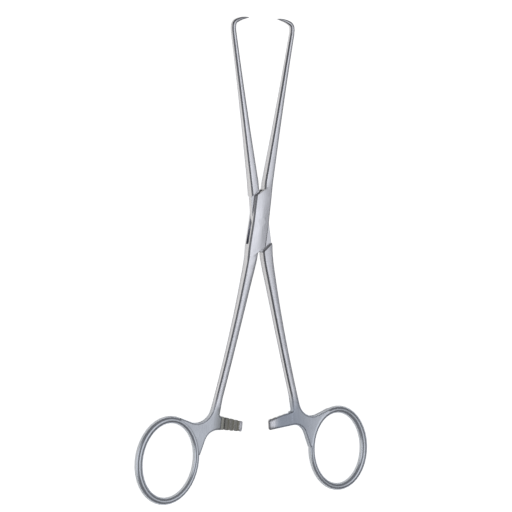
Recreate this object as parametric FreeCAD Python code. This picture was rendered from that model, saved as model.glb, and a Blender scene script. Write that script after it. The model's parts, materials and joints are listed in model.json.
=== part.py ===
import FreeCAD, Part
import math
import os

os.makedirs("parts", exist_ok=True)

V = FreeCAD.Vector
ORIGIN = V(0, 0, 0)
ALONG = V(0, 1, 0)
UP = V(0, 0, 1)

# The forceps is drawn closed at the first notch of its ratchet, and each half is then
# turned about the pivot into the open rest pose. X runs across, +Y to the jaws and +Z
# out of the front face. Lengths are in millimetres and angles in degrees.
OPEN_EACH = 5.2

# Box lock: two plates with a slot between them, crossed by the tongue of the other half
LOCK_HALF_WIDTH = 4.75
LOCK_THICKNESS = 5.8
LOCK_BEVEL = 0.75
LOCK_FULL = 13.0
PLATE_CORNER = 4.15
JAW_CROTCH = 16.5
SHANK_CROTCH = 15.6
SHOULDER_SLOPE = 37.0
SHOULDER_GAP = 0.3
SLOT_HEIGHT = 2.3
SLOT_REACH = 13.1
SLOT_END_GAP = 0.3
FACE_GAP = 0.05
TONGUE_INSET = 0.1
REST_LAND = 0.06

# Pivot rivet, countersunk in both plates and ground flush
PIN_DIAMETER = 3.4
PIN_HEAD_DIAMETER = 4.2
PIN_HEAD_DEPTH = 0.6
PIN_RUNNING_GAP = 0.05

# Jaws: bevelled bars that lean outwards and taper to a round wire
HALF_GAP = 0.08
JAW_ROOT = 20.5
JAW_ROOT_WIDTH = 4.85
JAW_ROOT_THICKNESS = 4.9
JAW_LEAN = 4.4
JAW_REACH = 97.7
JAW_NARROWING = 2.0
JAW_THINNING = 1.5
WIRE_DIAMETER = 2.8

# Hooks: bends of the wire as (radius, turn), then a straight point
HOOK_BENDS = ((10.0, 18.4), (2.9, 52.0), (14.0, 22.0))
HOOK_STEP = 10.5
HOOK_LEAD = 1.0
HOOK_POINT = 2.0
HOOK_TIP_DIAMETER = 0.24
HOOK_THINNING = 0.7
HOOK_OFFSET = 0.8

# Shanks: bevelled bars with a slight outward bow
SHANK_ROOT = 20.5
SHANK_ROOT_WIDTH = 5.6
SHANK_ROOT_OUTER = 5.95
SHANK_ROOT_THICKNESS = 5.2
SHANK_WIDTH = 3.95
SHANK_THICKNESS = 3.7
SHANK_LEAN = 7.0
SHANK_BOW = 3.6
SHANK_REACH = 95.0
SHANK_NARROWING = 3.2
SHANK_THINNING = 2.0
SHANK_FOOT = 9.0
SHANK_FOOT_THICKNESS = 3.1
ARM_BEVEL = 0.6

# Yoke: the flat web that joins the shank, the ratchet bar and the ring
YOKE_THICKNESS = 3.5
YOKE_BEVEL = 0.5
YOKE_TOP = -92.0
YOKE_CROTCH_FILLET = 0.9
YOKE_CROTCH_FLAT = 0.1
YOKE_RING_ANGLE = 102.0
YOKE_RING_FILLET = 9.0
YOKE_LEG_ANGLE = 170.0
YOKE_LEG_FILLET = 7.5

# Finger rings: oval wire, thick on the outside and slim on the leg beside the yoke
RING_LEG_X = 23.55
RING_HALF_WIDTH = 16.3
RING_HALF_LENGTH = 20.75
RING_CENTRE_X = RING_LEG_X + RING_HALF_WIDTH
RING_CENTRE_Y = -124.3
RING_TILT = 1.6
RING_WIRE_OUTER = 4.2
RING_WIRE_INNER = 3.2
RING_WIRE_THICKNESS = 3.75
RING_STATIONS = 40
RING_SEAM = 140.0

# Ratchet bars: one passes in front of the other, teeth to teeth
BAR_TIP_X = -2.15
BAR_ROOT_X = 11.5
BAR_TIP_TOP = -103.1
BAR_ROOT_TOP = -100.85
BAR_TIP_BOTTOM = -108.4
BAR_ROOT_BOTTOM = -107.85
BAR_CORNER = 0.9
BAR_BEVEL = 0.4
BAR_GAP = 0.1
TOOTH_COUNT = 4
TOOTH_PITCH = 2.85
TOOTH_DEPTH = 0.8
TOOTH_LAND = 0.25
TOOTH_START = -0.15
TIP_RAMP = 0.75
BAR_OVERLAP = 1.5
NOTCH_RADIUS = 0.9
NOTCH_DEPTH = 0.25

# Rise over chord of each edge of a section: nearly flat faces, or a round wire
FLAT_CROWN = 0.02
ROUND_CROWN = 0.0995
ROUND_SIDE = math.cos(math.pi / 8)
ROUND_FACE = math.sin(math.pi / 8)

# Arms start inside the lock, slimmer than it, and join it with a step of a hair's width
ROOT_START = 9.5
ROOT_SHRINK = 1.0
ROOT_STEP = 0.12
JAW_STEPS = 5
SHANK_STEPS = 6

# Joined shapes lap by the seam, and cutters run past the metal by the spare. A fillet in
# plan takes at most its share of the shorter side.
SEAM = 0.03
SPARE = 1.0
FAR = 200.0
FILLET_SHARE = 0.85
SMOOTH_DEGREE = 3


def heading(lean):
    """Unit vector that leans from +Y towards +X by the angle."""
    return V(math.sin(math.radians(lean)), math.cos(math.radians(lean)), 0)


def swelled_edge(start, end, centre, crown):
    """Arc from start to end that swells away from the centre by crown times its chord."""
    along = (end - start).normalize()
    middle = (start + end) * 0.5
    outward = middle - centre
    outward = (outward - along * outward.dot(along)).normalize()
    top = middle + outward * (crown * (end - start).Length)
    return Part.Arc(start, top, end).toShape()


def eight_edges(centre, lean, side, face, crown):
    """Section across the heading, from its corners on the side walls and on the faces."""
    across = heading(lean + 90)
    corners = []
    for sx, sz in ((1, 1), (-1, 1), (-1, -1), (1, -1)):
        pair = (side, face) if sx * sz > 0 else (face, side)
        corners += [centre + across * (sx * w) + UP * (sz * t) for w, t in pair]
    following = corners[1:] + corners[:1]
    return Part.Wire([swelled_edge(a, b, centre, crown) for a, b in zip(corners, following)])


def bar_section(centre, lean, width, thickness, bevel, crown):
    """Bevelled bar section of the given outside width and thickness."""
    k = 2 * crown
    half_w = (width / 2 - k * thickness / 2 + k * bevel * (1 - k)) / (1 - k * k)
    half_t = (thickness / 2 - k * width / 2 + k * bevel * (1 - k)) / (1 - k * k)
    return eight_edges(centre, lean, (half_w, half_t - bevel), (half_w - bevel, half_t), crown)


def oval_section(centre, lean, width, thickness):
    """Oval wire section with the same eight edges as a bar."""
    side = (width / 2 * ROUND_SIDE, thickness / 2 * ROUND_FACE)
    face = (width / 2 * ROUND_FACE, thickness / 2 * ROUND_SIDE)
    return eight_edges(centre, lean, side, face, ROUND_CROWN)


def taper(root, end, share, power):
    """Value that falls from root to end along the share, fast first when power is over one."""
    return end + (root - end) * (1 - share) ** power


def rounded_outline(corners):
    """Closed wire through (x, y, radius) corners, each rounded by its radius or as its sides allow."""
    points = [V(x, y, 0) for x, y, _ in corners]
    bends = []
    for i, (_, _, radius) in enumerate(corners):
        back = points[i - 1] - points[i]
        ahead = points[(i + 1) % len(points)] - points[i]
        half = back.getAngle(ahead) / 2
        cut = min(radius / math.tan(half), FILLET_SHARE * min(back.Length, ahead.Length))
        radius = cut * math.tan(half)
        back.normalize()
        ahead.normalize()
        middle = points[i] + (back + ahead).normalize() * (radius / math.sin(half) - radius)
        bends.append((points[i] + back * cut, middle, points[i] + ahead * cut))
    edges = []
    for i, (start, middle, end) in enumerate(bends):
        if corners[i][2] > 0:
            edges.append(Part.Arc(start, middle, end).toShape())
        edges.append(Part.makeLine(end, bends[(i + 1) % len(bends)][0]))
    return Part.Wire(edges)


def prism(wire, low, high):
    """Solid over a flat outline, from height low to height high."""
    face = Part.Face(wire)
    face.translate(UP * low)
    return face.extrude(UP * (high - low))


def outline(points):
    """Closed wire of straight edges through (x, y) points."""
    return Part.makePolygon([V(x, y, 0) for x, y in points + points[:1]])


def band(low, high, slope):
    """Endless slab between two parallel planes that rise by the slope, low and high on Y."""
    rise = FAR * math.tan(math.radians(slope))
    corners = [(-FAR, low - rise), (FAR, low + rise), (FAR, high + rise), (-FAR, high - rise)]
    return prism(outline(corners), -FAR, FAR)


def edges_at(plate, level):
    """Edges of the plate that lie flat at a height."""
    boxes = [(edge, edge.BoundBox) for edge in plate.Edges]
    return [edge for edge, box in boxes if max(abs(box.ZMin - level), abs(box.ZMax - level)) < 1e-6]


def mirrored(shape):
    """The shape turned half round the long axis: the other half's way up."""
    return shape.rotated(ORIGIN, ALONG, 180)


def bend(point, lean, radius, turn, steps):
    """Stations (point, lean) along a bend to the right."""
    centre = point + heading(lean + 90) * radius
    stations = []
    for i in range(1, steps + 1):
        now = lean + turn * i / steps
        stations.append((centre - heading(now + 90) * radius, now))
    return stations


def jaw():
    """Jaw on the -X side with its hook, from inside the lock to the sharp tip."""
    start = V(-HALF_GAP - JAW_ROOT_WIDTH / 2, JAW_ROOT, 0)
    length = (JAW_REACH - JAW_ROOT) / math.cos(math.radians(JAW_LEAN))
    round_bevel = WIRE_DIAMETER * (ROUND_SIDE - ROUND_FACE) / 2
    sections = []
    for i in range(JAW_STEPS + 1):
        share = i / JAW_STEPS
        centre = start + heading(-JAW_LEAN) * (length * share)
        width = taper(JAW_ROOT_WIDTH, WIRE_DIAMETER, share, JAW_NARROWING)
        thick = taper(JAW_ROOT_THICKNESS, WIRE_DIAMETER, share, JAW_THINNING)
        bevel = ARM_BEVEL + (round_bevel - ARM_BEVEL) * share**2
        crown = FLAT_CROWN + (ROUND_CROWN - FLAT_CROWN) * share**2
        lean = -JAW_LEAN * min(1, 2 * share)
        sections.append(bar_section(centre, lean, width, thick, bevel, crown))
    lock_middle = -(HALF_GAP + LOCK_HALF_WIDTH) / 2
    lock_width = LOCK_HALF_WIDTH - HALF_GAP - SEAM
    root = Part.makeLoft(root_sections(lock_middle, 1, lock_width) + sections[:1], True, True)
    blade = Part.makeLoft(sections, True, False, False, SMOOTH_DEGREE)
    return root.fuse([blade, hook(centre)])


def root_sections(x, way, width):
    """First two sections of an arm, inside the lock and where the lock is at its full size."""
    lean = 90 - 90 * way
    thick = LOCK_THICKNESS - ROOT_STEP
    hidden = (width - ROOT_SHRINK, thick - ROOT_SHRINK)
    return [
        bar_section(V(x, way * ROOT_START, 0), lean, *hidden, ARM_BEVEL, FLAT_CROWN),
        bar_section(V(x, way * LOCK_FULL, 0), lean, width, thick, LOCK_BEVEL, FLAT_CROWN),
    ]


def hook(knee):
    """Hook from the knee to the tip, a round wire that thins and eases to one side."""
    lean = -JAW_LEAN
    stations = [(knee - heading(lean) * HOOK_LEAD, lean), (knee, lean)]
    for radius, turn in HOOK_BENDS:
        point, lean = stations[-1]
        stations += bend(point, lean, radius, turn, math.ceil(turn / HOOK_STEP))
    point, lean = stations[-1]
    stations.append((point + heading(lean) * HOOK_POINT, lean))
    walked = [0.0]
    for (a, _), (b, _) in zip(stations, stations[1:]):
        walked.append(walked[-1] + (b - a).Length)
    thin_from = HOOK_LEAD + HOOK_BENDS[0][0] * math.radians(HOOK_BENDS[0][1])
    sections = []
    for (point, lean), far in zip(stations, walked):
        share = max(0.0, (far - thin_from) / (walked[-1] - thin_from))
        diameter = taper(WIRE_DIAMETER - 2 * SEAM, HOOK_TIP_DIAMETER, share, HOOK_THINNING)
        centre = point + UP * (HOOK_OFFSET * share)
        sections.append(Part.Wire([Part.makeCircle(diameter / 2, centre, heading(lean))]))
    return Part.makeLoft(sections, True, True)


def shank():
    """Shank on the +X side, from inside the lock down into the yoke."""
    start = V(SHANK_ROOT_OUTER - SHANK_ROOT_WIDTH / 2, -SHANK_ROOT, 0)
    lock_middle = (HALF_GAP + SHANK_ROOT_OUTER) / 2
    sections = root_sections(lock_middle, -1, SHANK_ROOT_OUTER - HALF_GAP - SEAM)
    lean = 180 - SHANK_LEAN
    mean = math.radians(SHANK_LEAN + SHANK_BOW / 2)
    length = (SHANK_REACH - SHANK_ROOT) / math.cos(mean)
    radius = length / math.radians(SHANK_BOW)
    centre = start + heading(lean - 90) * radius
    for i in range(SHANK_STEPS + 1):
        share = i / SHANK_STEPS
        now = lean - SHANK_BOW * share
        point = centre - heading(now - 90) * radius
        width = taper(SHANK_ROOT_WIDTH, SHANK_WIDTH, share, SHANK_NARROWING)
        thick = taper(SHANK_ROOT_THICKNESS, SHANK_THICKNESS, share, SHANK_THINNING)
        sections.append(bar_section(point, now, width, thick, ARM_BEVEL, FLAT_CROWN))
    foot = point + heading(now) * SHANK_FOOT
    sections.append(bar_section(foot, now, SHANK_WIDTH, SHANK_FOOT_THICKNESS, ARM_BEVEL, FLAT_CROWN))
    return Part.makeLoft(sections, True, False, False, SMOOTH_DEGREE), point, now


def ring_place(angle):
    """Point of the ring's wire and the lean of its outward normal, at an angle about its centre."""
    a = math.radians(angle)
    spin = FreeCAD.Rotation(UP, RING_TILT)
    point = spin.multVec(V(RING_HALF_WIDTH * math.cos(a), RING_HALF_LENGTH * math.sin(a), 0))
    normal = spin.multVec(V(RING_HALF_LENGTH * math.cos(a), RING_HALF_WIDTH * math.sin(a), 0))
    lean = math.degrees(math.atan2(normal.x, normal.y))
    return V(RING_CENTRE_X, RING_CENTRE_Y, 0) + point, lean


def ring_width(angle):
    """Width of the ring's wire in plan, at an angle about the ring's centre."""
    mean = (RING_WIRE_OUTER + RING_WIRE_INNER) / 2
    swing = (RING_WIRE_OUTER - RING_WIRE_INNER) / 2
    return mean + swing * math.cos(math.radians(angle))


def ring_outside(angle):
    """Point just under the skin of the ring's outer edge, and the lean of its normal."""
    point, lean = ring_place(angle)
    return point + heading(lean) * (ring_width(angle) / 2 - 2 * SEAM), lean


def ring():
    """Closed oval wire of the finger ring on the +X side."""
    sections = []
    for i in range(RING_STATIONS):
        angle = RING_SEAM + 360 * i / RING_STATIONS
        centre, lean = ring_place(angle)
        sections.append(oval_section(centre, lean - 90, ring_width(angle), RING_WIRE_THICKNESS))
    return Part.makeLoft(sections, True, True, True)


def ring_core():
    """Disc out to the middle of the ring's wire, to keep its hole clear."""
    spin = FreeCAD.Placement(V(RING_CENTRE_X, RING_CENTRE_Y, -FAR), FreeCAD.Rotation(UP, RING_TILT + 90))
    ellipse = Part.Ellipse(ORIGIN, RING_HALF_LENGTH, RING_HALF_WIDTH)
    disc = Part.Face(Part.Wire([ellipse.toShape()])).extrude(UP * 2 * FAR)
    disc.Placement = spin
    return disc


def yoke(shank_end, shank_lean):
    """Web between the shank, the ratchet bar and the ring, open at the ring's hole."""
    out = heading(shank_lean - 90)
    inner = shank_end - out * (SHANK_WIDTH / 2 - 2 * SEAM)
    outer = shank_end + out * (SHANK_WIDTH / 2 - 2 * SEAM)
    rise = heading(shank_lean)
    inner_top = inner + rise * ((YOKE_TOP - inner.y) / rise.y)
    outer_top = outer + rise * ((YOKE_TOP - outer.y) / rise.y)
    on_top, top_lean = ring_outside(YOKE_RING_ANGLE)
    on_leg, _ = ring_outside(YOKE_LEG_ANGLE)
    corner = outer_top + rise * cross_at(outer_top, rise, on_top, heading(top_lean + 90))
    crotch = BAR_ROOT_X + YOKE_BEVEL + YOKE_CROTCH_FLAT + YOKE_CROTCH_FILLET
    corners = [
        (inner_top.x, inner_top.y, 0),
        (crotch, bar_level(crotch, BAR_TIP_TOP, BAR_ROOT_TOP), YOKE_CROTCH_FILLET),
        (BAR_ROOT_X, BAR_ROOT_TOP, 0),
        (BAR_ROOT_X, BAR_ROOT_BOTTOM, 0),
        (on_leg.x - YOKE_LEG_FILLET / 2, BAR_ROOT_BOTTOM, YOKE_LEG_FILLET),
        (on_leg.x, on_leg.y, 0),
        (RING_CENTRE_X, RING_CENTRE_Y, 0),
        (on_top.x, on_top.y, 0),
        (corner.x, corner.y, YOKE_RING_FILLET),
        (outer_top.x, outer_top.y, 0),
    ]
    half = YOKE_THICKNESS / 2
    plate = prism(rounded_outline(corners), -half, half)
    rims = edges_at(plate, -half) + edges_at(plate, half)
    return plate.makeChamfer(YOKE_BEVEL, rims).cut(ring_core())


def cross_at(point, way, other, other_way):
    """How far along way from point the two lines meet."""
    gap = other - point
    return (gap.x * other_way.y - gap.y * other_way.x) / (way.x * other_way.y - way.y * other_way.x)


def tooth_edge(index):
    """X of a tooth's steep face, counted from the tip."""
    return TOOTH_START + TOOTH_PITCH * index


def bar_level(x, tip_y, root_y):
    """Y of the bar's top or bottom edge at x."""
    share = (x - BAR_TIP_X) / (BAR_ROOT_X - BAR_TIP_X)
    return tip_y + (root_y - tip_y) * share


def bar_outline():
    """Plan outline of the ratchet bar, carried a little way into the yoke."""
    root = BAR_ROOT_X + BAR_OVERLAP
    return rounded_outline([
        (BAR_TIP_X, BAR_TIP_TOP, BAR_CORNER),
        (BAR_TIP_X, BAR_TIP_BOTTOM, BAR_CORNER),
        (root, bar_level(root, BAR_TIP_BOTTOM, BAR_ROOT_BOTTOM), 0),
        (root, bar_level(root, BAR_TIP_TOP, BAR_ROOT_TOP), 0),
    ])


def edge_notches(depth):
    """Upright cutters that nick both long edges of the bar in line with the teeth."""
    cutters = []
    for i in range(TOOTH_COUNT):
        x = tooth_edge(i)
        top = bar_level(x, BAR_TIP_TOP, BAR_ROOT_TOP) + NOTCH_RADIUS - depth
        low = bar_level(x, BAR_TIP_BOTTOM, BAR_ROOT_BOTTOM) - NOTCH_RADIUS + depth
        for y in (top, low):
            cutters.append(Part.makeCylinder(NOTCH_RADIUS, 2 * YOKE_THICKNESS, V(x, y, -YOKE_THICKNESS)))
    return cutters


def tooth_cutter():
    """Saw teeth to take off the back of a ratchet bar: steep faces look to the bar's root."""
    crest = BAR_GAP / 2
    under = crest - SPARE
    deep = crest + TOOTH_DEPTH
    points = [(BAR_TIP_X - SPARE, under), (BAR_TIP_X - SPARE, crest + TIP_RAMP)]
    for i in range(TOOTH_COUNT):
        points += [(tooth_edge(i) - TOOTH_LAND, crest), (tooth_edge(i), crest), (tooth_edge(i), deep)]
    points += [(BAR_ROOT_X + SEAM, deep), (BAR_ROOT_X + SEAM, under)]
    profile = Part.makePolygon([V(x, -FAR, z) for x, z in points + points[:1]])
    return Part.Face(profile).extrude(ALONG * FAR)


def ratchet_bar(notch_depth):
    """Front ratchet bar on the +X side, its teeth cut in its back face."""
    front = YOKE_THICKNESS / 2 - SEAM
    bar = prism(bar_outline(), BAR_GAP / 2, front)
    bar = bar.makeChamfer(BAR_BEVEL, edges_at(bar, front)).cut(tooth_cutter())
    if notch_depth > 0:
        bar = bar.cut(edge_notches(notch_depth))
    return bar


def arms(notch_depth):
    """Jaw, and shank with its yoke, ratchet bar and ring, still apart at the lock."""
    shank_bar, shank_end, shank_lean = shank()
    handle = shank_bar.fuse([yoke(shank_end, shank_lean), ratchet_bar(notch_depth), ring()])
    return jaw(), handle


def lock_body(inset):
    """Full thickness of the lock, with its shank root on the -X side."""
    jaw_outer = HALF_GAP + JAW_ROOT_WIDTH
    flare = SHANK_ROOT_OUTER - LOCK_HALF_WIDTH
    nip = LOCK_HALF_WIDTH - PLATE_CORNER
    stations = (
        (JAW_ROOT, -LOCK_HALF_WIDTH, jaw_outer, JAW_ROOT_THICKNESS),
        (LOCK_FULL, -LOCK_HALF_WIDTH, LOCK_HALF_WIDTH, LOCK_THICKNESS),
        (0, -LOCK_HALF_WIDTH - flare / 4, LOCK_HALF_WIDTH - nip / 4, LOCK_THICKNESS),
        (-LOCK_FULL, -SHANK_ROOT_OUTER, PLATE_CORNER, LOCK_THICKNESS),
        (-SHANK_ROOT, -SHANK_ROOT_OUTER, PLATE_CORNER, SHANK_ROOT_THICKNESS),
    )
    sections = []
    for y, left, right, thickness in stations:
        centre = V((left + right) / 2, y, 0)
        width = right - left + 2 * (SEAM - inset)
        sections.append(bar_section(centre, 0, width, thickness + 2 * SEAM, LOCK_BEVEL, FLAT_CROWN))
    return Part.makeLoft(sections, True, True)


def slot_band(clearance):
    """Slab across the lock between the two end walls of the slot, less a clearance at each."""
    reach = (SLOT_REACH - clearance) / math.cos(math.radians(SHOULDER_SLOPE))
    return band(-reach, reach, -SHOULDER_SLOPE)


def level_slab(thickness):
    """Endless flat slab about the middle plane."""
    return Part.makeBox(2 * FAR, 2 * FAR, thickness, V(-FAR, -FAR, -thickness / 2))


def rivet_blank():
    """Rivet with a countersunk head at each face, before its ends are ground flush."""
    radius = PIN_DIAMETER / 2
    head = PIN_HEAD_DIAMETER / 2
    top = LOCK_THICKNESS / 2 + SEAM
    end = top + SPARE
    profile = [(0, -end), (head, -end), (head, -top), (radius, -top + PIN_HEAD_DEPTH)]
    profile += [(radius, top - PIN_HEAD_DEPTH), (head, top), (head, end), (0, end)]
    wire = Part.makePolygon([V(x, 0, z) for x, z in profile + profile[:1]])
    return Part.Face(wire).revolve(ORIGIN, UP, 360)


def above_land():
    """Everything in front of the flat land that the lock rests on."""
    floor = REST_LAND - LOCK_THICKNESS / 2 - SEAM
    return Part.makeBox(2 * FAR, 2 * FAR, FAR, V(-FAR, -FAR, floor))


def shoulder_rise():
    """Distance on Y that leaves the shoulder gap square to the sloping edge."""
    return SHOULDER_GAP / math.cos(math.radians(SHOULDER_SLOPE))


def box_half():
    """Half with the two plates and the slot: jaw on +X, shank on -X."""
    jaw_bar, handle = arms(NOTCH_DEPTH)
    plates = lock_body(0).common(band(-SHANK_CROTCH, JAW_CROTCH, SHOULDER_SLOPE))
    body = plates.fuse([mirrored(jaw_bar), mirrored(handle)])
    body = body.cut(slot_band(0).common(level_slab(SLOT_HEIGHT)))
    return body.cut(rivet_blank()).common(above_land())


def tongue():
    """Thin middle of the other half, which fills the slot and turns in it."""
    thickness = SLOT_HEIGHT - 2 * FACE_GAP
    crossed = mirrored(lock_body(TONGUE_INSET))
    overlap = 2 * shoulder_rise()
    along = band(-SHANK_CROTCH - overlap, JAW_CROTCH + overlap, SHOULDER_SLOPE)
    return crossed.common(level_slab(thickness)).common(along).common(slot_band(SLOT_END_GAP))


def male_half():
    """Half with the tongue: jaw on -X, shank on +X."""
    jaw_bar, handle = arms(0)
    rise = shoulder_rise()
    upper = jaw_bar.common(band(JAW_CROTCH + rise, FAR, SHOULDER_SLOPE))
    lower = handle.common(band(-FAR, -SHANK_CROTCH - rise, SHOULDER_SLOPE))
    body = tongue().fuse([upper, lower])
    bore = Part.makeCylinder(PIN_DIAMETER / 2 + PIN_RUNNING_GAP, SLOT_HEIGHT, V(0, 0, -SLOT_HEIGHT / 2))
    return body.cut(bore)


def pivot_pin():
    """Rivet, ground flush with both plates."""
    return rivet_blank().common(lock_body(0)).common(above_land())


def placed(shape, open_angle):
    """The shape opened about the pivot, with the resting land at height zero."""
    turned = shape.rotated(ORIGIN, UP, open_angle)
    turned.translate(UP * (LOCK_THICKNESS / 2 + SEAM - REST_LAND))
    return turned.Solids[0]


def export(name, shape):
    """Write one node and say how it came out."""
    shape.exportStep(f"parts/{name}.step")
    print(name, "solids", len(shape.Solids), "valid", shape.isValid(), "volume", round(shape.Volume, 2))


export("box_half", placed(box_half(), -OPEN_EACH))
export("male_half", placed(male_half(), OPEN_EACH))
export("pivot_pin", placed(pivot_pin(), -OPEN_EACH))
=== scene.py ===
"""Looks of a single tooth tenaculum forceps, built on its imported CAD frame, in metres."""
import json
import logging
import math
from dataclasses import dataclass, field, replace
from enum import Enum

import bpy
from mathutils import Matrix, Vector

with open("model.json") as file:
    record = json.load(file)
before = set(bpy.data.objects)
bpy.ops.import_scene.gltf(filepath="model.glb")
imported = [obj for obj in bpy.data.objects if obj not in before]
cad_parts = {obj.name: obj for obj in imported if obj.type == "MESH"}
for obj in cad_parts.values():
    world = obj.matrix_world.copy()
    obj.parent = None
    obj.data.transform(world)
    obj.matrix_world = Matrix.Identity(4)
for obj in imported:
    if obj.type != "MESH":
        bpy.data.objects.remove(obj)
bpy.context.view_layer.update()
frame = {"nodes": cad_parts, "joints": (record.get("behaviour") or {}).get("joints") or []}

Triple = tuple[float, float, float]
Socket = bpy.types.NodeSocket
Value = Socket | Vector | float | tuple

LOG = logging.getLogger("forceps")
MM = 0.001
PIVOT = Vector(frame["joints"][0]["pos_m"])
WHITE: Triple = (1.0, 1.0, 1.0)

# Noise lies mostly between these two values
NOISE_LOW = 0.3
NOISE_HIGH = 0.7


class Half(Enum):
    """The two halves, by the sign of the turn that closes each of them."""

    BOX = 1.0
    MALE = -1.0


class Blend(Enum):
    """What a Mix node blends: its data type, the index of its inputs A and B, and of its result."""

    NUMBER = ("FLOAT", 2, 3, 0)
    COLOUR = ("VECTOR", 4, 5, 1)


@dataclass(frozen=True)
class Finish:
    """One finish of the steel, with the shade, light and reflection painted into its colour by facing and
    zone.

    Attributes:
        colour: Linear base colour of a face that looks to the front: the steel's own colour, with a blue
            cast that paints the bluish highlight.
        side_reflection_colour: Linear base colour of the side walls, neutral where the fronts are bluish: a
            painted reflection.
        side_shade_tone: Painted shade of the side walls against the front faces.
        bevel_shade_tone: Painted shade of the bevels against the front faces.
        rim_tint: Tint of the reflection at a very flat angle.
        roughness: Mean roughness.
        rough_spread: Change of roughness in the clouds.
        line_depth: Change of tone in the grinding lines.
        line_scale: Lines per metre, about.
        line_stretch: Stretch of the lines' noise on X, Y and Z, which runs them along the piece.
        handle_shade_tint: Tint of the yokes and rings: painted shade, darker and a little bluer.
        handle_bevel_light: Tone of the bevels there against the front faces: painted light.
        ramp_shade_tint: Tint of the ratchet's ramps: painted shade, darker and olive.
        crest_highlight_tint: Tint of the ramps' crests: a painted highlight.
        valley_shade_tone: Tone of the ratchet's flat valley against its ramps: painted shade.
        near_shade_tint: Tint of the yoke beside the ramps: painted shade.
        near_shade_reach: How far from the ramps the painted shade reaches.
        lock_radius: Softness of the lock's sharp edges.
        jaw_radius: Softness of the jaws' edges.
        shank_radius: Softness of the shanks' edges.
        handle_radius: Softness of the handles' edges.
        tooth_radius: Softness of the ratchet's teeth.
    """

    colour: Triple = (0.69, 0.703, 0.768)
    side_reflection_colour: Triple = (0.735, 0.728, 0.735)
    side_shade_tone: float = 0.97
    bevel_shade_tone: float = 0.30
    rim_tint: Triple = (0.42, 0.42, 0.42)
    roughness: float = 0.25
    rough_spread: float = 0.03
    line_depth: float = 0.07
    line_scale: float = 9000.0
    line_stretch: Triple = (1.0, 0.03, 1.0)
    handle_shade_tint: Triple = (0.75, 0.78, 0.80)
    handle_bevel_light: float = 1.35
    ramp_shade_tint: Triple = (0.66, 0.65, 0.56)
    crest_highlight_tint: Triple = (1.1, 1.1, 1.1)
    valley_shade_tone: float = 0.6
    near_shade_tint: Triple = (0.36, 0.37, 0.36)
    near_shade_reach: float = 6.5 * MM
    lock_radius: float = 0.3 * MM
    jaw_radius: float = 1.2 * MM
    shank_radius: float = 2.5 * MM
    handle_radius: float = 1.0 * MM
    tooth_radius: float = 0.3 * MM


SATIN = Finish()
# The male half gets a lighter painted shade on its yoke, reaching farther from the ramps.
MALE_SATIN = replace(SATIN, near_shade_tint=(0.51, 0.55, 0.60), near_shade_reach=18.0 * MM)
# The rivet's bevels and side walls get less painted shade, and its edges stay sharp.
RIVET_SATIN = replace(SATIN, bevel_shade_tone=0.6, side_shade_tone=0.9, lock_radius=0.0)


@dataclass(frozen=True)
class ToothBox:
    """Box about the ramps of one half's ratchet bar, with the forceps closed.

    Attributes:
        turn: Turn about the pivot that closes the half, in radians.
        centre: Middle of the box.
        reach: Half of its sides, less than nothing where there are no ramps.
    """

    turn: float = 0.0
    centre: Triple = (0.0, 0.0, 0.0)
    reach: Triple = (-1.0, -1.0, -1.0)


def opaque(colour: Triple) -> tuple[float, float, float, float]:
    """Colour with full opacity, as a colour input takes it."""
    return (*colour, 1.0)


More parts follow.
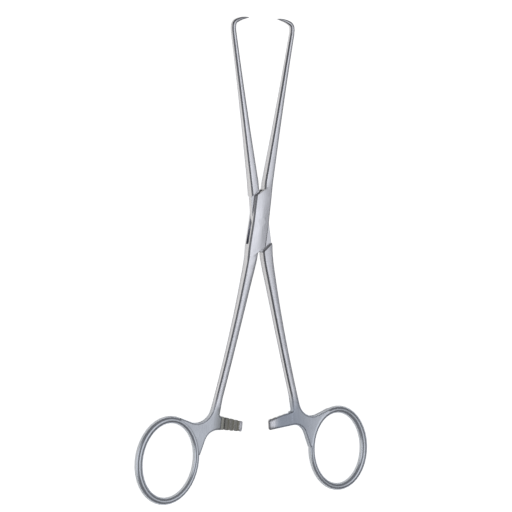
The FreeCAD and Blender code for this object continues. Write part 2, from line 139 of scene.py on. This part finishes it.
@dataclass
class Wiring:
    """Short calls that add and join nodes in one tree.

    Attributes:
        tree: The node tree.
    """

    tree: bpy.types.NodeTree

    def put(self, socket: Socket, value: Value) -> None:
        """Feed a socket.

        Args:
            socket: The input to feed.
            value: A socket to link, or a constant to set on the input itself.
        """
        if isinstance(value, Socket):
            self.tree.links.new(value, socket)
        else:
            socket.default_value = value

    def node(self, kind: str, **inputs: Value) -> bpy.types.Node:
        """Add a node.

        Args:
            kind: Node class.
            **inputs: Values or sockets by input name, with _ for a space.

        Returns:
            The node.
        """
        made = self.tree.nodes.new(kind)
        self.feed(made, inputs)
        return made

    def use(self, shared: bpy.types.NodeTree, **inputs: Value) -> bpy.types.Node:
        """Add a shared node group.

        Args:
            shared: The group.
            **inputs: Values or sockets by input name, with _ for a space.

        Returns:
            The group's node.
        """
        made = self.tree.nodes.new("ShaderNodeGroup")
        made.node_tree = shared
        self.feed(made, inputs)
        return made

    def feed(self, made: bpy.types.Node, inputs: dict[str, Value]) -> None:
        """Feed the inputs of a node.

        Args:
            made: The node.
            inputs: Values or sockets by input name, with _ for a space.
        """
        for name, value in inputs.items():
            self.put(made.inputs[name.replace("_", " ")], value)

    def operate(self, kind: str, operation: str, values: tuple[Value, ...]) -> bpy.types.Node:
        """Add a node that has an operation and unnamed inputs.

        Args:
            kind: Node class.
            operation: Operation name, such as "MULTIPLY".
            values: Its inputs in order.

        Returns:
            The node.
        """
        made = self.tree.nodes.new(kind)
        made.operation = operation
        for socket, value in zip(made.inputs, values):
            self.put(socket, value)
        return made

    def maths(self, operation: str, *values: Value) -> Socket:
        """Result of an operation on numbers."""
        return self.operate("ShaderNodeMath", operation, values).outputs["Value"]

    def vector(self, operation: str, *values: Value) -> Socket:
        """Result of an operation on vectors that gives a vector."""
        return self.operate("ShaderNodeVectorMath", operation, values).outputs["Vector"]

    def measure(self, operation: str, *values: Value) -> Socket:
        """Result of an operation on vectors that gives a number."""
        return self.operate("ShaderNodeVectorMath", operation, values).outputs["Value"]

    def mix(self, share: Value, start: Value, end: Value, blend: Blend = Blend.NUMBER) -> Socket:
        """Blend of two numbers or colours.

        Args:
            share: Share of the second.
            start: Result at 0.
            end: Result at 1.
            blend: What is blended.

        Returns:
            The result.
        """
        kind, first, second, result = blend.value
        made = self.tree.nodes.new("ShaderNodeMix")
        made.data_type = kind
        for index, value in ((0, share), (first, start), (second, end)):
            self.put(made.inputs[index], value)
        return made.outputs[result]

    def ramp(self, value: Value, low: Value, high: Value, start: Value, end: Value) -> Socket:
        """Smooth ramp.

        Args:
            value: What is mapped.
            low: Value at which the ramp starts.
            high: Value at which it ends.
            start: Result at low.
            end: Result at high.

        Returns:
            The result.
        """
        made = self.node("ShaderNodeMapRange", Value=value, From_Min=low, From_Max=high)
        made.interpolation_type = "SMOOTHSTEP"
        self.feed(made, {"To Min": start, "To Max": end})
        return made.outputs["Result"]


@dataclass
class NodeGroup:
    """A shader node group that is filled by small calls.

    Attributes:
        name: Name of the group.
        tree: The node tree behind it.
        wire: Its wiring.
    """

    name: str
    tree: bpy.types.NodeTree = field(init=False)
    wire: Wiring = field(init=False)

    def __post_init__(self) -> None:
        """Make the empty tree with its input and output nodes."""
        self.tree = bpy.data.node_groups.new(self.name, "ShaderNodeTree")
        self.wire = Wiring(self.tree)
        self.source = self.tree.nodes.new("NodeGroupInput")
        self.sink = self.tree.nodes.new("NodeGroupOutput")

    def takes(self, *names: str, **numbers: float) -> None:
        """Add inputs.

        Args:
            *names: Names of vector inputs.
            **numbers: Default values of number inputs by name, with _ for a space.
        """
        for name in names:
            self.tree.interface.new_socket(name=name, in_out="INPUT", socket_type="NodeSocketVector")
        for name, value in numbers.items():
            title = name.replace("_", " ")
            made = self.tree.interface.new_socket(name=title, in_out="INPUT", socket_type="NodeSocketFloat")
            made.default_value = value

    def gives(self, name: str, source: Socket, kind: str = "NodeSocketFloat") -> None:
        """Add an output.

        Args:
            name: Name of the socket.
            source: The socket inside the group that feeds it.
            kind: Socket class.
        """
        self.tree.interface.new_socket(name=name, in_out="OUTPUT", socket_type=kind)
        self.tree.links.new(source, self.sink.inputs[name])

    def entry(self, name: str) -> Socket:
        """Inside end of an input."""
        return self.source.outputs[name]

    def slope(self, value: Value, low: str, high: str, start: Value, end: Value) -> Socket:
        """Smooth ramp between two of the group's inputs.

        Args:
            value: What is mapped.
            low: Name of the input at which the ramp starts.
            high: Name of the input at which it ends.
            start: Result at low.
            end: Result at high.

        Returns:
            The result.
        """
        return self.wire.ramp(value, self.entry(low), self.entry(high), start, end)


class SharedEffects:
    """The effects that every steel shares, each one a node group made once."""

    def __init__(self) -> None:
        """Build the groups."""
        self.lines = self.make_lines()
        self.tone = self.make_facing_shade()
        self.zones = self.make_zones()
        self.teeth = self.make_teeth()
        self.edges = self.make_edges()

    def make_lines(self) -> bpy.types.NodeTree:
        """Fine grinding lines.

        Returns:
            Group with the outputs Lines (0 to 1) and Clouds (0 to 1).
        """
        group = NodeGroup("Grinding lines")
        group.takes("Place", "Stretch", Scale=8000.0, Line_Detail=3.0, Cloud_Scale=90.0, Cloud_Detail=2.0)
        wire = group.wire
        place = group.entry("Place")
        spread = wire.vector("MULTIPLY", place, group.entry("Stretch"))
        lines = wire.node("ShaderNodeTexNoise", Vector=spread, Scale=group.entry("Scale"))
        wire.put(lines.inputs["Detail"], group.entry("Line Detail"))
        clouds = wire.node("ShaderNodeTexNoise", Vector=place, Scale=group.entry("Cloud Scale"))
        wire.put(clouds.inputs["Detail"], group.entry("Cloud Detail"))
        group.gives("Lines", lines.outputs["Fac"])
        group.gives("Clouds", clouds.outputs["Fac"])
        return group.tree

    def make_facing_shade(self) -> bpy.types.NodeTree:
        """Painted shade and light of a face from the way it looks on the piece: front, bevel or side wall.

        Returns:
            Group with the outputs Tone (the painted shade), Flat (1 on a face that looks straight to the
            front) and Side.
        """
        group = NodeGroup("Painted facing shade")
        group.takes("Facing", Bevel_Tone=0.5, Side_Tone=0.9, Side_Full=0.42, Side_End=0.64)
        group.takes(Front_Start=0.78, Front_Full=0.95, Flat_Start=0.975, Flat_Full=0.99)
        wire = group.wire
        parts = wire.node("ShaderNodeSeparateXYZ", Vector=group.entry("Facing"))
        up = wire.maths("ABSOLUTE", parts.outputs["Z"])
        front = group.slope(up, "Front Start", "Front Full", 0.0, 1.0)
        side = group.slope(up, "Side Full", "Side End", 1.0, 0.0)
        between = wire.maths("SUBTRACT", wire.maths("SUBTRACT", 1.0, front), side)
        bevel_part = wire.maths("MULTIPLY", between, group.entry("Bevel Tone"))
        side_part = wire.maths("MULTIPLY", side, group.entry("Side Tone"))
        group.gives("Tone", wire.maths("ADD", wire.maths("ADD", front, bevel_part), side_part))
        group.gives("Flat", group.slope(up, "Flat Start", "Flat Full", 0.0, 1.0))
        group.gives("Side", side)
        return group.tree

    def make_zones(self) -> bpy.types.NodeTree:
        """Zones along the piece.

        Returns:
            Group with the outputs Handle, which is 1 on the yokes and rings, and Shank, 1 below the lock.
        """
        group = NodeGroup("Zones")
        group.takes("Place", Shank_Start=-15.0 * MM, Shank_Full=-30.0 * MM)
        group.takes(Handle_Start=-86.0 * MM, Handle_Full=-101.0 * MM, Bar_Tip=9.5 * MM, Bar_Root=14.5 * MM)
        wire = group.wire
        parts = wire.node("ShaderNodeSeparateXYZ", Vector=group.entry("Place"))
        below = group.slope(parts.outputs["Y"], "Handle Full", "Handle Start", 1.0, 0.0)
        aside = wire.maths("ABSOLUTE", parts.outputs["X"])
        beside = group.slope(aside, "Bar Tip", "Bar Root", 0.0, 1.0)
        group.gives("Handle", wire.maths("MULTIPLY", below, beside))
        group.gives("Shank", group.slope(parts.outputs["Y"], "Shank Full", "Shank Start", 1.0, 0.0))
        return group.tree

    def make_teeth(self) -> bpy.types.NodeTree:
        """Mask of the ratchet's ramps: a box about the teeth, drawn with the forceps closed.

        Returns:
            Group with the outputs Mask (0 or 1) and Near (0 to 1), which fades out around the box and
            places the painted shade beside the ramps.
        """
        group = NodeGroup("Ratchet teeth")
        group.takes("Place", "Centre", "Reach", Turn=0.0, Fade=-6.5 * MM)
        wire = group.wire
        turned = wire.node("ShaderNodeVectorRotate", Vector=group.entry("Place"), Angle=group.entry("Turn"))
        turned.rotation_type = "Z_AXIS"
        offset = wire.vector("SUBTRACT", turned.outputs["Vector"], group.entry("Centre"))
        room = wire.vector("SUBTRACT", group.entry("Reach"), wire.vector("ABSOLUTE", offset))
        sides = wire.node("ShaderNodeSeparateXYZ", Vector=room)
        least = wire.maths("MINIMUM", sides.outputs["X"], sides.outputs["Y"])
        least = wire.maths("MINIMUM", least, sides.outputs["Z"])
        group.gives("Mask", wire.maths("GREATER_THAN", least, 0.0))
        group.gives("Near", wire.ramp(least, group.entry("Fade"), 0.0, 0.0, 1.0))
        return group.tree

    def make_edges(self) -> bpy.types.NodeTree:
        """Soft sharp edges, apart from the rivet's, which is ground flush with the plates.

        Returns:
            Group with the outputs Normal and Edge (0 to 1).
        """
        group = NodeGroup("Soft edges")
        group.takes("Place", Lock_Radius=0.3 * MM, Arm_Radius=1.0 * MM, Rivet_Reach=3.3 * MM)
        group.takes(Lock_End=15.0 * MM, Arm_Start=20.0 * MM, Edge_Full=0.9, Edge_Start=0.99)
        wire = group.wire
        away = wire.measure("LENGTH", wire.vector("MULTIPLY", group.entry("Place"), (1.0, 1.0, 0.0)))
        clear = wire.maths("GREATER_THAN", away, group.entry("Rivet Reach"))
        lock, arm = group.entry("Lock Radius"), group.entry("Arm Radius")
        radius = group.slope(away, "Lock End", "Arm Start", lock, arm)
        bevel = wire.node("ShaderNodeBevel", Radius=wire.maths("MULTIPLY", clear, radius))
        bevel.samples = 8
        facet = wire.node("ShaderNodeNewGeometry")
        match = wire.measure("DOT_PRODUCT", bevel.outputs["Normal"], facet.outputs["Normal"])
        group.gives("Normal", bevel.outputs["Normal"], "NodeSocketVector")
        group.gives("Edge", group.slope(match, "Edge Full", "Edge Start", 1.0, 0.0))
        return group.tree


@dataclass
class SteelMaterial:
    """Satin stainless steel of one piece.

    Attributes:
        name: Material name.
        finish: The finish it shows.
        effects: The shared node groups.
        teeth: Where its milled teeth are.
    """

    name: str
    finish: Finish
    effects: SharedEffects
    teeth: ToothBox

    def __post_init__(self) -> None:
        """Start the material with the nodes that say where on the piece a point lies."""
        self.made = bpy.data.materials.new(self.name)
        self.made.use_nodes = True
        self.wire = Wiring(self.made.node_tree)
        self.coords = self.wire.node("ShaderNodeTexCoord")
        self.place = self.coords.outputs["Object"]
        self.zones = self.wire.use(self.effects.zones, Place=self.place)
        self.marks = self.wire.use(
            self.effects.teeth,
            Place=self.place,
            Turn=self.teeth.turn,
            Centre=self.teeth.centre,
            Reach=self.teeth.reach,
            Fade=-self.finish.near_shade_reach,
        )

    def soften(self) -> bpy.types.Node:
        """Soft edges, with the radius that suits each zone.

        Returns:
            Node with the outputs Normal and Edge.
        """
        wire, finish = self.wire, self.finish
        lock = finish.lock_radius
        arm = wire.mix(self.zones.outputs["Shank"], finish.jaw_radius, finish.shank_radius)
        arm = wire.mix(self.zones.outputs["Handle"], arm, finish.handle_radius)
        arm = wire.mix(self.marks.outputs["Mask"], arm, finish.tooth_radius)
        return wire.use(self.effects.edges, Place=self.place, Lock_Radius=lock, Arm_Radius=arm)

    def paint_facing_shade(self) -> bpy.types.Node:
        """Painted shade and light of each face, from the way it looks on the piece.

        Returns:
            Node with the outputs Tone, Flat and Side.
        """
        wire, finish = self.wire, self.finish
        facing = self.coords.outputs["Normal"]
        # Bevels on the yokes and rings get painted light, elsewhere painted shade.
        bevel = wire.mix(self.zones.outputs["Handle"], finish.bevel_shade_tone, finish.handle_bevel_light)
        return wire.use(self.effects.tone, Facing=facing, Bevel_Tone=bevel, Side_Tone=finish.side_shade_tone)

    def tint(self, edge: Socket) -> Socket:
        """Painted shade and highlight of each zone against the bare steel.

        Args:
            edge: Mask of the edges, which gives the ramps' crests their painted highlight.

        Returns:
            The tint.
        """
        wire, finish = self.wire, self.finish
        handle = self.zones.outputs["Handle"]
        # Painted shade on the yoke beside the ramps.
        near = wire.maths("MULTIPLY", self.marks.outputs["Near"], handle)
        # Painted shade on the yokes and rings.
        tint = wire.mix(handle, WHITE, finish.handle_shade_tint, Blend.COLOUR)
        tint = wire.mix(near, tint, finish.near_shade_tint, Blend.COLOUR)
        # Painted shade on the ratchet's ramps, with a painted highlight on their crests.
        ramps = wire.mix(edge, finish.ramp_shade_tint, finish.crest_highlight_tint, Blend.COLOUR)
        return wire.mix(self.marks.outputs["Mask"], tint, ramps, Blend.COLOUR)

    def build(self) -> bpy.types.Material:
        """Finish the material.

        Returns:
            The material.
        """
        wire, finish = self.wire, self.finish
        edges = self.soften()
        tone = self.paint_facing_shade()
        lines = wire.use(self.effects.lines, Place=self.place, Scale=finish.line_scale)
        wire.put(lines.inputs["Stretch"], finish.line_stretch)
        least, most = 1.0 - finish.line_depth, 1.0 + finish.line_depth
        streak = wire.ramp(lines.outputs["Lines"], NOISE_LOW, NOISE_HIGH, least, most)
        # Painted shade in the ratchet's flat valleys.
        valley_share = wire.maths("MULTIPLY", self.marks.outputs["Mask"], tone.outputs["Flat"])
        valley = wire.mix(valley_share, 1.0, finish.valley_shade_tone)
        # The level multiplies the painted facing shade, the painted valley shade and the grinding streaks.
        level = wire.maths("MULTIPLY", wire.maths("MULTIPLY", tone.outputs["Tone"], valley), streak)
        # Side walls and fronts get different base colours: painted reflection.
        steel = wire.mix(tone.outputs["Side"], finish.colour, finish.side_reflection_colour, Blend.COLOUR)
        tinted = wire.vector("MULTIPLY", self.tint(edges.outputs["Edge"]), steel)
        smooth, rough = finish.roughness - finish.rough_spread, finish.roughness + finish.rough_spread
        clouds = wire.ramp(lines.outputs["Clouds"], NOISE_LOW, NOISE_HIGH, smooth, rough)
        shader = self.made.node_tree.nodes["Principled BSDF"]
        wire.put(shader.inputs["Base Color"], wire.vector("MULTIPLY", tinted, level))
        wire.put(shader.inputs["Roughness"], clouds)
        wire.put(shader.inputs["Normal"], edges.outputs["Normal"])
        wire.put(shader.inputs["Metallic"], 1.0)
        wire.put(shader.inputs["Specular Tint"], opaque(finish.rim_tint))
        return self.made


def ease_facets(mesh: bpy.types.Mesh, angle: float) -> None:
    """Shade the mesh smooth where its faces nearly line up, with every vertex left in place.

    Args:
        mesh: The mesh, whose coincident vertices count as one.
        angle: Largest angle in degrees between two faces that shade as one surface.
    """
    place_digits = 6
    limit = math.cos(math.radians(angle))
    around: dict[tuple[float, ...], list[tuple[Vector, float]]] = {}
    places = [tuple(round(value, place_digits) for value in vertex.co) for vertex in mesh.vertices]
    for face in mesh.polygons:
        for index in face.vertices:
            around.setdefault(places[index], []).append((face.normal.copy(), face.area))
    normals: list[Vector] = []
    for face in mesh.polygons:
        for index in face.vertices:
            near = (way * area for way, area in around[places[index]] if way.dot(face.normal) > limit)
            normals.append(sum(near, Vector()).normalized())
    mesh.normals_split_custom_set(normals)


@dataclass
class Piece:
    """One solid piece, which shows its CAD node.

    Attributes:
        node: CAD node name.
        slot: Material slot in the record.
        finish: Its finish.
        effects: The shared node groups.
        round_angle: Faces that meet at less than this many degrees shade as one round surface.
    """

    node: str
    slot: str
    finish: Finish
    effects: SharedEffects
    round_angle: float = 24.0

    def tooth_box(self) -> ToothBox:
        """Box about its ratchet's ramps, empty on a piece without any."""
        return ToothBox()

    def dress(self) -> None:
        """Give the CAD node its steel."""
        piece = frame["nodes"][self.node]
        ease_facets(piece.data, self.round_angle)
        piece.data.materials.clear()
        steel = SteelMaterial(self.slot, self.finish, self.effects, self.tooth_box())
        piece.data.materials.append(steel.build())
        LOG.info("%s dressed", self.node)


@dataclass
class ForcepsHalf(Piece):
    """One forged half.

    Attributes:
        half: Which half it is.
        open_angle: How far the half is opened at rest, in degrees.
        teeth_middle: How far the ramps' middle lies aside, along Y and off the pivot's height, when closed.
        teeth_reach: Half of the sides of the box about them.
    """

    half: Half = Half.BOX
    open_angle: float = 5.2
    teeth_middle: Triple = (5.7 * MM, -104.6 * MM, 0.45 * MM)
    teeth_reach: Triple = (5.9 * MM, 4.5 * MM, 0.42 * MM)

    def tooth_box(self) -> ToothBox:
        """Box about this half's ramps, which face the other half's bar."""
        x, y, z = self.teeth_middle
        sign = self.half.value
        centre = (-sign * x, y, PIVOT.z - sign * z)
        return ToothBox(sign * math.radians(self.open_angle), centre, self.teeth_reach)


@dataclass(frozen=True)
class Lobe:
    """A soft light in the studio's surroundings.

    Attributes:
        towards: Direction in which it lies.
        outer: Cosine at which it starts.
        inner: Cosine at which it is full.
        strength: What it adds at its middle.
    """

    towards: Triple
    outer: float
    inner: float
    strength: float


@dataclass
class Studio:
    """Floor and surroundings.

    Attributes:
        floor_size: Side of the floor.
        floor_drop: How far the floor lies under the resting land.
        floor_grey: Base colour of the floor.
        floor_roughness: Its roughness.
        floor_seen: What it adds to what the camera sees.
        floor_mirrored: What it adds to what the steel mirrors.
        room: Grey level of the room.
        lobes: Soft lights in the room.
    """

    floor_size: float = 4.0
    floor_drop: float = 0.3 * MM
    floor_grey: float = 0.85
    floor_roughness: float = 0.9
    floor_seen: float = 0.8
    floor_mirrored: float = 0.65
    room: float = 0.21
    lobes: tuple[Lobe, ...] = (
        Lobe(towards=(0.25, -0.03, 0.96), outer=0.885, inner=1.0, strength=1.05),
        Lobe(towards=(-0.91, -0.05, 0.41), outer=0.85, inner=0.96, strength=0.62),
        Lobe(towards=(0.97, -0.05, 0.17), outer=0.92, inner=0.98, strength=0.30),
    )

    def lay_floor(self) -> None:
        """Lay the pale floor, which the camera and the steel see as near white."""
        bpy.ops.mesh.primitive_plane_add(size=self.floor_size, location=(0, 0, -self.floor_drop))
        floor = bpy.context.object
        floor.name = "floor"
        made = bpy.data.materials.new("pale floor")
        made.use_nodes = True
        wire = Wiring(made.node_tree)
        grey = self.floor_grey
        shader = made.node_tree.nodes["Principled BSDF"]
        wire.put(shader.inputs["Base Color"], opaque((grey, grey, grey)))
        wire.put(shader.inputs["Roughness"], self.floor_roughness)
        wire.put(shader.inputs["Emission Color"], opaque(WHITE))
        path = wire.node("ShaderNodeLightPath")
        seen = wire.maths("MULTIPLY", path.outputs["Is Camera Ray"], self.floor_seen)
        mirrored = wire.maths("MULTIPLY", path.outputs["Is Glossy Ray"], self.floor_mirrored)
        wire.put(shader.inputs["Emission Strength"], wire.maths("ADD", seen, mirrored))
        floor.data.materials.append(made)
        LOG.info("floor laid")

    def light_world(self) -> None:
        """Make the surroundings: white to the camera, a soft room to the object."""
        world = bpy.data.worlds.new("studio")
        bpy.context.scene.world = world
        world.use_nodes = True
        world.node_tree.nodes.clear()
        wire = Wiring(world.node_tree)
        way = wire.node("ShaderNodeTexCoord").outputs["Generated"]
        total: Value = self.room
        for lobe in self.lobes:
            match = wire.measure("DOT_PRODUCT", way, Vector(lobe.towards).normalized())
            glow = wire.ramp(match, lobe.outer, lobe.inner, 0.0, lobe.strength)
            total = wire.maths("ADD", total, glow)
        path = wire.node("ShaderNodeLightPath")
        level = wire.maths("MAXIMUM", total, path.outputs["Is Camera Ray"])
        back = wire.node("ShaderNodeBackground", Color=opaque(WHITE), Strength=level)
        wire.node("ShaderNodeOutputWorld", Surface=back.outputs["Background"])
        LOG.info("surroundings lit")


@dataclass
class PhotoCamera:
    """The camera that took the photo, found from the object's own symmetry.

    Attributes:
        left: How far it stands to the left of the pivot's axis, in degrees.
        ahead: How far it stands towards the jaws, in degrees.
        roll: Its turn about its own view, in degrees.
        offset: Its place from the pivot, along its own right, up and back.
        focal: Focal length in picture widths.
        sensor: Width of the sensor in millimetres.
    """

    left: float = 30.6184
    ahead: float = 3.4299
    roll: float = 1.1044
    offset: Triple = (-0.001657, -0.017693, 1.025641)
    focal: float = 3.90625
    sensor: float = 36.0

    def place(self) -> None:
        """Put the camera in the scene."""
        steps = ((-self.left, "Y"), (-self.ahead, "X"), (self.roll, "Z"))
        turn = Matrix.Identity(3)
        for angle, axis in steps:
            turn = turn @ Matrix.Rotation(math.radians(angle), 3, axis)
        data = bpy.data.cameras.new("photo camera")
        data.sensor_width = self.sensor
        data.lens = self.focal * self.sensor
        camera = bpy.data.objects.new("photo camera", data)
        camera.matrix_world = Matrix.Translation(PIVOT + turn @ Vector(self.offset)) @ turn.to_4x4()
        bpy.context.scene.collection.objects.link(camera)
        bpy.context.scene.camera = camera
        LOG.info("camera placed")


def main() -> None:
    """Dress the pieces in order and set the studio."""
    logging.basicConfig(level=logging.INFO)
    effects = SharedEffects()
    ForcepsHalf("box_half", "box_half_steel", SATIN, effects, half=Half.BOX).dress()
    ForcepsHalf("male_half", "male_half_steel", MALE_SATIN, effects, half=Half.MALE).dress()
    Piece("pivot_pin", "rivet_steel", RIVET_SATIN, effects).dress()
    studio = Studio()
    studio.lay_floor()
    studio.light_world()
    PhotoCamera().place()
    bpy.context.scene.view_settings.view_transform = "Standard"


if __name__ == "__main__":
    main()
